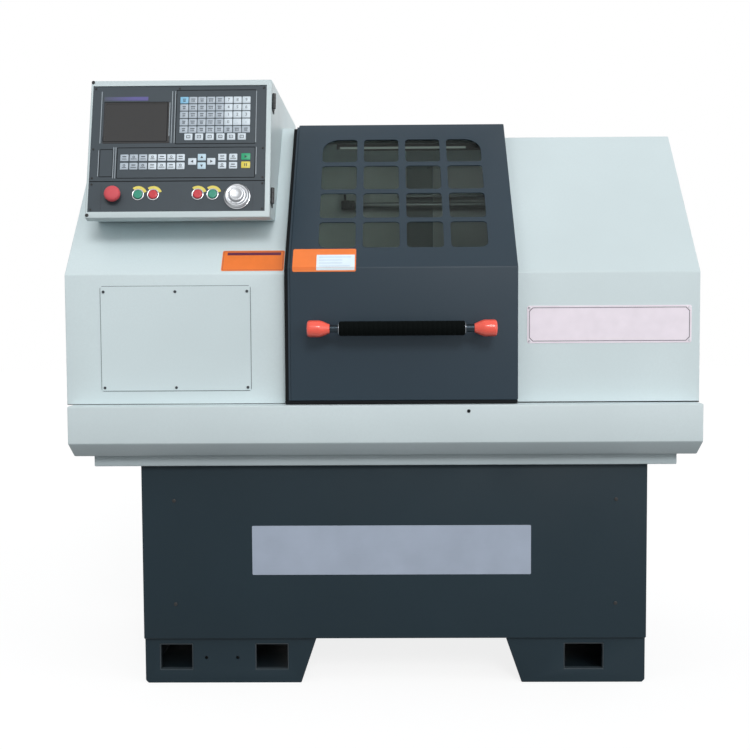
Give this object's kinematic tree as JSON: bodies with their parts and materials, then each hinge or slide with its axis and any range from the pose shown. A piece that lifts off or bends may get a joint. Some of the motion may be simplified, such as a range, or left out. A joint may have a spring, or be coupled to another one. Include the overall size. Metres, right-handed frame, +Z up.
{
  "type": "cnc lathe",
  "caption": "Small flat-bed CNC lathe on a cabinet base: white sloped covers, dark sliding door with a grid window, and a tilted operator panel on a hinged lid.",
  "frame": {"origin": "on the floor, in the middle of the four anchor holes in the feet", "axes": "+X to the operator's right along the spindle, +Y away from the operator, +Z up"},
  "size_m": [1.557, 0.964, 1.5183],
  "materials": {
    "white_paint": "satin powder coat",
    "dark_paint": "satin powder coat",
    "door_paint": "satin powder coat",
    "zinc_steel": "zinc plated",
    "bed_iron": "ground and oiled",
    "cast_green": "enamel on a casting",
    "bearing_steel": "ground",
    "machined_steel": "ground",
    "hard_steel": "blackened",
    "cast_alloy": "turned",
    "motor_paint": "enamel",
    "belt_rubber": "matt",
    "lamp_plastic": "milky",
    "clear_sheet": "clear acrylic",
    "white_nylon": "moulded",
    "chromed_tube": "polished",
    "grip_rubber": "foam sleeve",
    "orange_plastic": "moulded",
    "black_metal": "black oxide",
    "panel_film": "printed film",
    "screen_black": "glossy",
    "key_plastic": "moulded",
    "green_plastic": "moulded",
    "red_plastic": "moulded",
    "servo_black": "matt",
    "tank_steel": "grey enamel",
    "black_nylon": "moulded"
  },
  "bodies": {
    "machine": {"left_foot": "dark_paint", "right_foot": "dark_paint", "levelling_screws": "zinc_steel", "base_cabinet": "dark_paint", "lower_pan": "white_paint", "chip_tray": "white_paint", "bed_casting": "bed_iron", "headstock_casting": "cast_green", "spindle_bearings": "bearing_steel", "spindle_motor": "motor_paint", "drive_belt": "belt_rubber", "left_cover": "white_paint", "access_panel": "white_paint", "panel_screws": "zinc_steel", "right_cover": "white_paint", "rear_guard": "white_paint", "work_light": "lamp_plastic", "door_rail": "machined_steel", "control_box": "white_paint", "lid_hinges": "black_metal", "screw_brackets": "bed_iron", "z_servo_motor": "servo_black", "coolant_tank": "tank_steel", "coolant_pump": "motor_paint", "drive_unit": "tank_steel", "cable_gland": "black_nylon"},
    "spindle": {"spindle": "machined_steel", "chuck_body": "machined_steel", "spindle_pulley": "cast_alloy"},
    "jaw_1": {"chuck_jaw_1": "hard_steel"},
    "jaw_2": {"chuck_jaw_2": "hard_steel"},
    "jaw_3": {"chuck_jaw_3": "hard_steel"},
    "motor_rotor": {"motor_pulley": "cast_alloy"},
    "door": {"door_panel": "door_paint", "window_pane": "clear_sheet", "door_glides": "white_nylon", "door_handle": "chromed_tube", "handle_grip": "grip_rubber", "handle_ends": "orange_plastic"},
    "lid": {"control_lid": "white_paint", "operator_panel": "panel_film", "display": "screen_black", "panel_keys": "key_plastic", "button_bezels": "black_metal"},
    "green_left": {"left_green_button": "green_plastic"},
    "red_left": {"left_red_button": "red_plastic"},
    "red_right": {"right_red_button": "red_plastic"},
    "green_right": {"right_green_button": "green_plastic"},
    "stop_button": {"emergency_stop": "red_plastic"},
    "pulse_wheel": {"pulse_handwheel": "cast_alloy"},
    "carriage": {"saddle": "bed_iron", "x_servo_motor": "servo_black"},
    "feed_screw_z": {"z_screw": "machined_steel"},
    "feed_screw_x": {"x_screw": "machined_steel"},
    "cross": {"cross_slide": "bed_iron"},
    "turret": {"tool_turret": "machined_steel", "turning_tools": "hard_steel"},
    "tailstock": {"tailstock_body": "cast_green"},
    "quill": {"tailstock_quill": "machined_steel"},
    "tail_wheel": {"tailstock_handwheel": "cast_alloy"}
  },
  "joints": [
    {"name": "spindle_spin", "type": "hinge", "parent": "machine", "child": "spindle", "pos_m": [-0.3, -0.04, 0.96], "axis": [1, 0, 0], "continuous": true},
    {"name": "motor_spin", "type": "hinge", "parent": "machine", "child": "motor_rotor", "pos_m": [-0.55, 0.27, 0.75], "axis": [1, 0, 0], "continuous": true},
    {"name": "jaw_1_slide", "type": "slide", "parent": "spindle", "child": "jaw_1", "axis": [0, 0, 1], "range_m": [-0.008, 0.01]},
    {"name": "jaw_2_slide", "type": "slide", "parent": "spindle", "child": "jaw_2", "axis": [0, -0.866, -0.5], "range_m": [-0.008, 0.01]},
    {"name": "jaw_3_slide", "type": "slide", "parent": "spindle", "child": "jaw_3", "axis": [0, 0.866, -0.5], "range_m": [-0.008, 0.01]},
    {"name": "door_slide", "type": "slide", "parent": "machine", "child": "door", "axis": [1, 0, 0], "range_m": [0, 0.44]},
    {"name": "lid_hinge", "type": "hinge", "parent": "machine", "child": "lid", "pos_m": [-0.272, -0.35419, 1.33982], "axis": [0, 0.2622, 0.965], "range_deg": [0, 95]},
    {"name": "green_left_press", "type": "slide", "parent": "lid", "child": "green_left", "axis": [0, 0.965, -0.2622], "range_m": [0, 0.003], "stiffness_N_per_m": 400, "springref_m": -0.002},
    {"name": "red_left_press", "type": "slide", "parent": "lid", "child": "red_left", "axis": [0, 0.965, -0.2622], "range_m": [0, 0.003], "stiffness_N_per_m": 400, "springref_m": -0.002},
    {"name": "red_right_press", "type": "slide", "parent": "lid", "child": "red_right", "axis": [0, 0.965, -0.2622], "range_m": [0, 0.003], "stiffness_N_per_m": 400, "springref_m": -0.002},
    {"name": "green_right_press", "type": "slide", "parent": "lid", "child": "green_right", "axis": [0, 0.965, -0.2622], "range_m": [0, 0.003], "stiffness_N_per_m": 400, "springref_m": -0.002},
    {"name": "stop_press", "type": "slide", "parent": "lid", "child": "stop_button", "axis": [0, 0.965, -0.2622], "range_m": [0, 0.004], "stiffness_N_per_m": 900, "springref_m": -0.003},
    {"name": "pulse_wheel_turn", "type": "hinge", "parent": "lid", "child": "pulse_wheel", "pos_m": [-0.3575, -0.39784, 1.22111], "axis": [0, -0.965, 0.2622], "continuous": true},
    {"name": "carriage_slide", "type": "slide", "parent": "machine", "child": "carriage", "axis": [1, 0, 0], "range_m": [-0.07, 0.175]},
    {"name": "z_screw_spin", "type": "hinge", "parent": "machine", "child": "feed_screw_z", "pos_m": [0, 0.128, 0.77], "axis": [1, 0, 0], "continuous": true},
    {"name": "cross_travel", "type": "slide", "parent": "carriage", "child": "cross", "axis": [0, 1, 0], "range_m": [-0.08, 0.07]},
    {"name": "x_screw_spin", "type": "hinge", "parent": "carriage", "child": "feed_screw_x", "pos_m": [0.06, 0, 0.8223], "axis": [0, 1, 0], "continuous": true},
    {"name": "turret_index", "type": "hinge", "parent": "cross", "child": "turret", "pos_m": [0.06, -0.195, 0.95], "axis": [0, 0, 1], "continuous": true},
    {"name": "tailstock_slide", "type": "slide", "parent": "machine", "child": "tailstock", "axis": [1, 0, 0], "range_m": [-0.08, 0]},
    {"name": "quill_slide", "type": "slide", "parent": "tailstock", "child": "quill", "axis": [-1, 0, 0], "range_m": [0, 0.07]},
    {"name": "tail_wheel_turn", "type": "hinge", "parent": "tailstock", "child": "tail_wheel", "pos_m": [0.69, -0.04, 0.96], "axis": [1, 0, 0], "continuous": true}
  ],
  "couplings": [
    {"joint": "motor_spin", "follows": "spindle_spin", "ratio": 1.5519},
    {"joint": "jaw_2_slide", "follows": "jaw_1_slide", "ratio": 1},
    {"joint": "jaw_3_slide", "follows": "jaw_1_slide", "ratio": 1},
    {"joint": "z_screw_spin", "follows": "carriage_slide", "rad_per_m": 1256.6},
    {"joint": "x_screw_spin", "follows": "cross_travel", "rad_per_m": 1256.6},
    {"joint": "tail_wheel_turn", "follows": "quill_slide", "rad_per_m": -1570.8}
  ]
}
